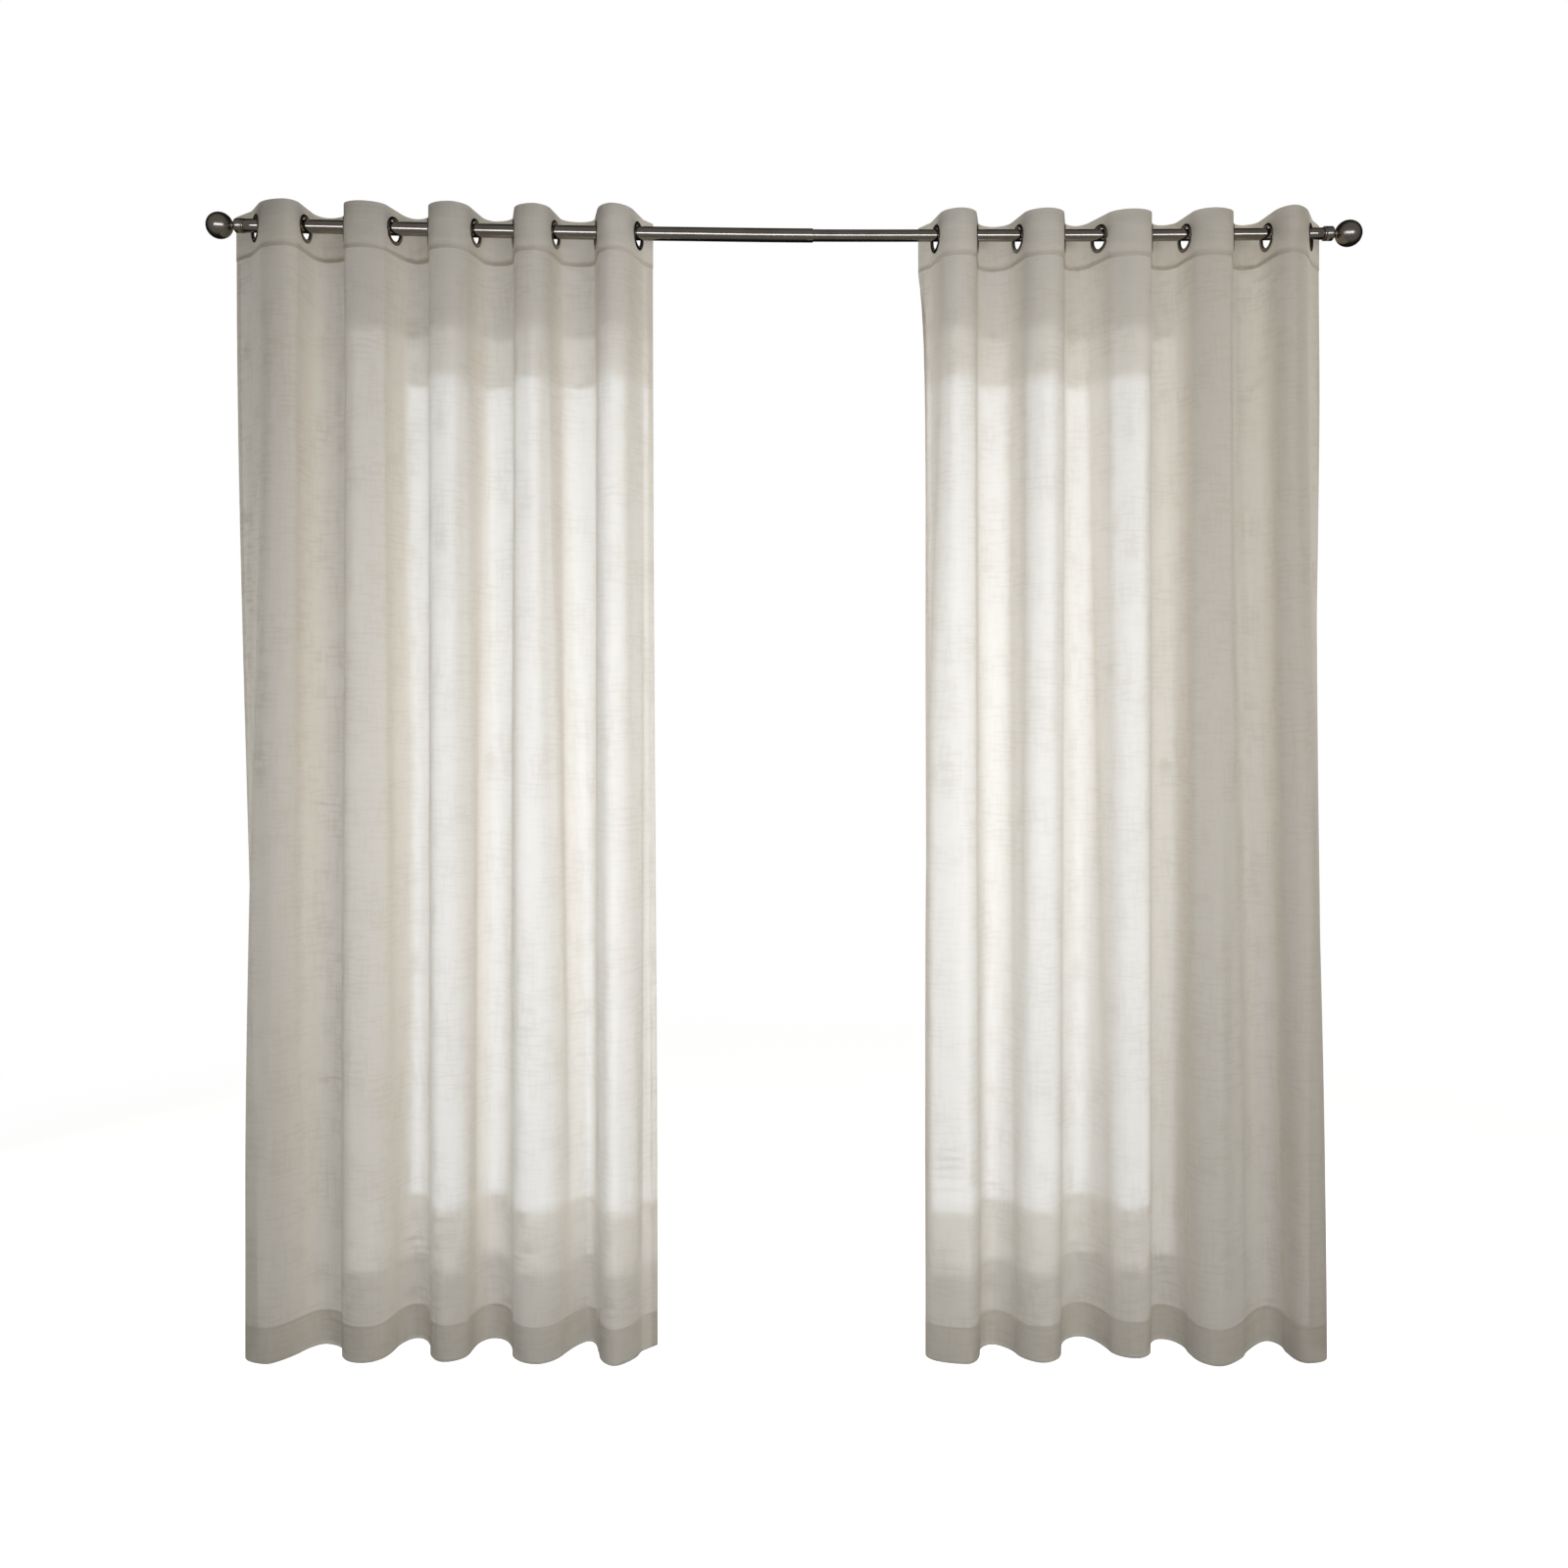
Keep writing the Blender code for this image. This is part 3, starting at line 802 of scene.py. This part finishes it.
def flank_patch(centre, direction):
    """Rings of (point, flat place) from a round hole out to a straight flank's rectangle."""
    depths = np.linspace(0, HEADING_HEIGHT, HEADING_ROWS + 1)
    widths = np.linspace(-FLAT_HALF_WIDTH, FLAT_HALF_WIDTH, HOLE_COLUMNS + 1)
    border = [(-FLAT_HALF_WIDTH, d) for d in depths]
    border += [(w, HEADING_HEIGHT) for w in widths[1:]]
    border += [(FLAT_HALF_WIDTH, d) for d in depths[::-1][1:]]
    border += [(w, 0.0) for w in widths[::-1][1:-1]]
    border = np.array(border)
    angle = np.arctan2(border[:, 1] - EYELET_DEPTH, border[:, 0])
    hole = np.column_stack((np.cos(angle), np.sin(angle))) * HOLE_RADIUS + (0.0, EYELET_DEPTH)
    share = np.linspace(0, 1, HOLE_RINGS + 1)[:, None, None]
    rings = hole + (border - hole) * share
    plan = centre + rings[..., :1] * direction
    height = heading_top(plan[..., 0]) - rings[..., 1]
    return np.concatenate((plan, height[..., None]), axis=-1), rings


def sew_heading(side, folds, edge, cloth, back_cloth):
    plan = heading_plan(folds, edge)[0]
    run = arc_lengths(plan)
    depths = np.linspace(0, HEADING_HEIGHT, HEADING_ROWS + 1)[:, None]
    mesh = bmesh.new()
    layer = mesh.loops.layers.uv.new("flat cloth")

    def add_quads(grid, flat, wrap):
        rows, columns = grid.shape[:2]
        corners = [[mesh.verts.new(point * MM) for point in row] for row in grid]
        for i in range(rows - 1):
            for j in range(columns if wrap else columns - 1):
                k = (j + 1) % columns
                spots = ((i, j), (i + 1, j), (i + 1, k), (i, k))
                face = mesh.faces.new([corners[a][b] for a, b in spots])
                for loop, (a, b) in zip(face.loops, spots):
                    loop[layer].uv = flat[a, b] * MM

    per_fold = 2 * TURN_PIECES + FLANK_PIECES
    starts = [0] + [i * per_fold + TURN_PIECES + FLANK_PIECES for i in range(len(folds))]
    ends = [i * per_fold + TURN_PIECES for i in range(len(folds))] + [len(plan) - 1]
    for start, end in zip(starts, ends):
        line = plan[start : end + 1]
        x, y = np.broadcast_arrays(line[:, 0], depths)[0], np.broadcast_arrays(line[:, 1], depths)[0]
        grid = np.stack((x, y, heading_top(line[:, 0]) - depths), axis=-1)
        flat = np.stack(np.broadcast_arrays(run[start : end + 1], depths), axis=-1)
        add_quads(grid, flat, wrap=False)
    for i, fold in enumerate(folds):
        start, end = plan[ends[i]], plan[starts[i + 1]]
        direction = (end - start) / np.linalg.norm(end - start)
        grid, rings = flank_patch(np.array([fold.eyelet_x, 0.0]), direction)
        middle = (run[ends[i]] + run[starts[i + 1]]) / 2
        add_quads(grid, rings + (middle, 0.0), wrap=True)
    bmesh.ops.remove_doubles(mesh, verts=mesh.verts, dist=0.00002)
    data = bpy.data.meshes.new(f"heading_strip_{side}")
    mesh.to_mesh(data)
    mesh.free()
    data.shade_smooth()
    strip = add_piece(f"heading_strip_{side}", data, cloth, [f"heading_{side}"])
    doubled = strip.modifiers.new("doubled cloth", "SOLIDIFY")
    doubled.thickness = HEADING_THICKNESS * MM
    doubled.offset = 0.0
    doubled.use_even_offset = True
    doubled.material_offset = 1
    data.materials.append(back_cloth)
    rounded = strip.modifiers.new("folded edges", "BEVEL")
    rounded.width = EDGE_ROUNDING * MM
    rounded.segments = 2
    rounded.limit_method = "ANGLE"
    rounded.angle_limit = math.radians(60)


doubled_voile = slub_voile(
    "slub_voile_doubled", HEADING_COLOUR, HEADING_LIT, openness=0.04, glow_share=0.40, swing=0.02
)
doubled_behind = slub_voile(
    "slub_voile_doubled_back", HEADING_COLOUR, HEADING_LIT, openness=0.55, glow_share=0.40, swing=0.02
)
sew_heading("left", LEFT_FOLDS, LEFT_EDGE, doubled_voile, doubled_behind)
sew_heading("right", RIGHT_FOLDS, RIGHT_EDGE, doubled_voile, doubled_behind)


# Stitching
# Ivory polyester thread in a row of lockstitch along each heading's foot, round the bottom hem and down
# the side hems. Real stitches are 3 mm long and 0.25 mm thick, too fine to show, so these are coarser.
# The thread is drawn lighter than the cloth. This is partly its own ivory and partly a painted highlight:
# the thin light line where the folded hem edge catches light.
STITCH_PITCH = 4.6
STITCH_LENGTH = 3.9
STITCH_WIDTH = 1.8
THREAD_PROUD = 0.35
STITCH_FROM_FOOT = 3.0
STITCH_IN_HEM = 3.0
SIDE_STITCH_REACH = 12.7
# Lighter than the cloth: partly the thread's ivory, partly a painted highlight of the hem's folded edge
# catching light.
THREAD_WITH_PAINTED_HIGHLIGHT = "F3EEE3"
THREAD_GLOW = 0.5


def stitch_row(line, facing, half_depth):
    """Lockstitches along a line. Each is a lozenge through the cloth that stands a little proud."""
    run = arc_lengths(line)
    middles = np.arange(STITCH_PITCH, run[-1] - STITCH_PITCH / 2, STITCH_PITCH)
    centre = along_row(line, line, middles)
    out = along_row(line, facing, middles)
    ahead = along_row(line, line, middles + STITCH_LENGTH / 2) - centre
    across = np.cross(ahead, out)
    across *= STITCH_WIDTH / 2 / np.linalg.norm(across, axis=1, keepdims=True)
    out = out * (half_depth + THREAD_PROUD)
    corners = (ahead, across, out, -across, -out, -ahead)
    return np.stack([centre + corner for corner in corners], axis=1)


def sew(name, rows, thread):
    """All the stitches of one cloth as one piece."""
    corners = np.concatenate(rows)
    faces = [(0, 1, 2), (0, 2, 3), (0, 3, 4), (0, 4, 1), (5, 2, 1), (5, 3, 2), (5, 4, 3), (5, 1, 4)]
    starts = np.arange(len(corners))[:, None, None] * 6
    data = bpy.data.meshes.new(name)
    data.from_pydata((corners.reshape(-1, 3) * MM).tolist(), [], (starts + faces).reshape(-1, 3).tolist())
    data.shade_smooth()
    piece = bpy.data.objects.new(name, data)
    data.materials.append(thread)
    bpy.context.scene.collection.objects.link(piece)
    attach(piece, "root")


# The thread's light colour is partly a painted highlight of the folded hem edge catching light.
thread, tree = new_material("ivory_thread_with_painted_highlight")
place = add_node(tree, "ShaderNodeTexCoord").outputs["Object"]
twist = add_node(tree, "ShaderNodeTexNoise", {"Vector": place, "Scale": 900.0}).outputs["Fac"]
bump = add_node(tree, "ShaderNodeBump", {"Height": twist, "Strength": 0.3, "Distance": 0.0001})
surface = add_node(
    tree,
    "ShaderNodeBsdfPrincipled",
    {
        "Base Color": paint(THREAD_WITH_PAINTED_HIGHLIGHT),
        "Roughness": 0.6,
        "Sheen Weight": 0.2,
        "Normal": bump.outputs["Normal"],
    },
).outputs["BSDF"]
through = add_node(tree, "ShaderNodeBsdfTranslucent", {"Color": paint(THREAD_WITH_PAINTED_HIGHLIGHT)}).outputs[0]
surface = add_node(tree, "ShaderNodeMixShader", {0: THREAD_GLOW, 1: surface, 2: through}).outputs[0]
add_node(tree, "ShaderNodeOutputMaterial", {"Surface": surface})

for side, folds, edge in (("left", LEFT_FOLDS, LEFT_EDGE), ("right", RIGHT_FOLDS, RIGHT_EDGE)):
    plan = heading_plan(folds, edge)[0]
    foot = heading_top(plan[:, 0]) - HEADING_HEIGHT + STITCH_FROM_FOOT
    line = np.column_stack((plan, foot))
    forward = np.gradient(line, axis=0)
    facing = np.column_stack((-forward[:, 1], forward[:, 0], np.zeros(len(line))))
    facing /= np.linalg.norm(facing, axis=1, keepdims=True)
    sew(f"heading_stitches_{side}", [stitch_row(line, facing, HEADING_THICKNESS / 2)], thread)

    front, normals, flat = drape(folds, edge)
    lift = (BOTTOM_HEM - STITCH_IN_HEM) / BOTTOM_HEM * HEM_ROWS
    upper, lower = front[-1 - math.ceil(lift)], front[-1 - math.floor(lift)]
    line = lower + (upper - lower) * (lift % 1)
    facing = normals[-1 - math.ceil(lift)]
    rows = [stitch_row(line + facing * HEM_LAYER / 2, facing, HEM_LAYER / 2)]
    for from_left in (True, False):
        line, facing = [], []
        for row, row_normals in zip(front[1:-HEM_ROWS], normals[1:-HEM_ROWS]):
            reach = SIDE_STITCH_REACH if from_left else arc_lengths(row)[-1] - SIDE_STITCH_REACH
            line.append(along_row(row, row, reach))
            facing.append(along_row(row, row_normals, reach))
        line, facing = np.array(line), np.array(facing)
        rows.append(stitch_row(line + facing * SIDE_HEM_LAYER / 2, facing, SIDE_HEM_LAYER / 2))
    sew(f"hem_stitches_{side}", rows, thread)


# Eyelet rings
# Pressed metal grommets in two halves, snapped together through the heading, ten to a panel. Same dark
# nickel plate as the rod, with a domed flange on both faces.
EYELET_BARREL_RADIUS = 20.0
EYELET_FLANGE_RADIUS = 26.3
EYELET_HALF_HEIGHT = 2.9
EYELET_GROOVE = 1.3
EYELET_SIDES = 72

satin_ring = brushed_metal("dark_nickel_pressed", lengthwise=False, smoothest=0.16, roughest=0.24)


def eyelet_profile():
    """Half of the section from the barrel over the domed flange to its rim, and the same turned over."""
    half = [
        (EYELET_HOLE_RADIUS, 0.0),
        (EYELET_HOLE_RADIUS, 0.9),
        (EYELET_HOLE_RADIUS + 0.35, 1.8),
        (EYELET_HOLE_RADIUS + 1.1, 2.5),
        (EYELET_HOLE_RADIUS + 2.3, 2.85),
        (EYELET_HOLE_RADIUS + 3.9, EYELET_HALF_HEIGHT),
        (EYELET_HOLE_RADIUS + 5.6, 2.65),
        (EYELET_FLANGE_RADIUS - 0.9, 2.2),
        (EYELET_FLANGE_RADIUS - 0.2, 1.7),
        (EYELET_FLANGE_RADIUS, EYELET_GROOVE + 0.15),
        (EYELET_FLANGE_RADIUS - 0.4, EYELET_GROOVE),
        (EYELET_BARREL_RADIUS + 0.3, EYELET_GROOVE),
        (EYELET_BARREL_RADIUS, EYELET_GROOVE - 0.3),
    ]
    return half + [(r, -h) for r, h in half[:0:-1]]


for side, folds in (("left", LEFT_FOLDS), ("right", RIGHT_FOLDS)):
    for number, fold in enumerate(folds, 1):
        forward = -1.0 if number % 2 else 1.0
        slope = math.radians(fold.angle)
        along = Vector((math.cos(slope), forward * math.sin(slope), 0.0))
        up = Vector((0.0, 0.0, 1.0))
        turn = Matrix((up, along, up.cross(along))).transposed().to_4x4()
        place = Vector((fold.eyelet_x, 0.0, float(eyelet_height(fold.eyelet_x)))) * MM
        name = f"eyelet_ring_{side}_{number:02d}"
        data = turned_mesh(name, eyelet_profile(), EYELET_SIDES, closed_profile=True)
        data.transform(Matrix.Translation(place) @ turn)
        add_piece(name, data, satin_ring, [f"eyelet_{side}_{number:02d}"])
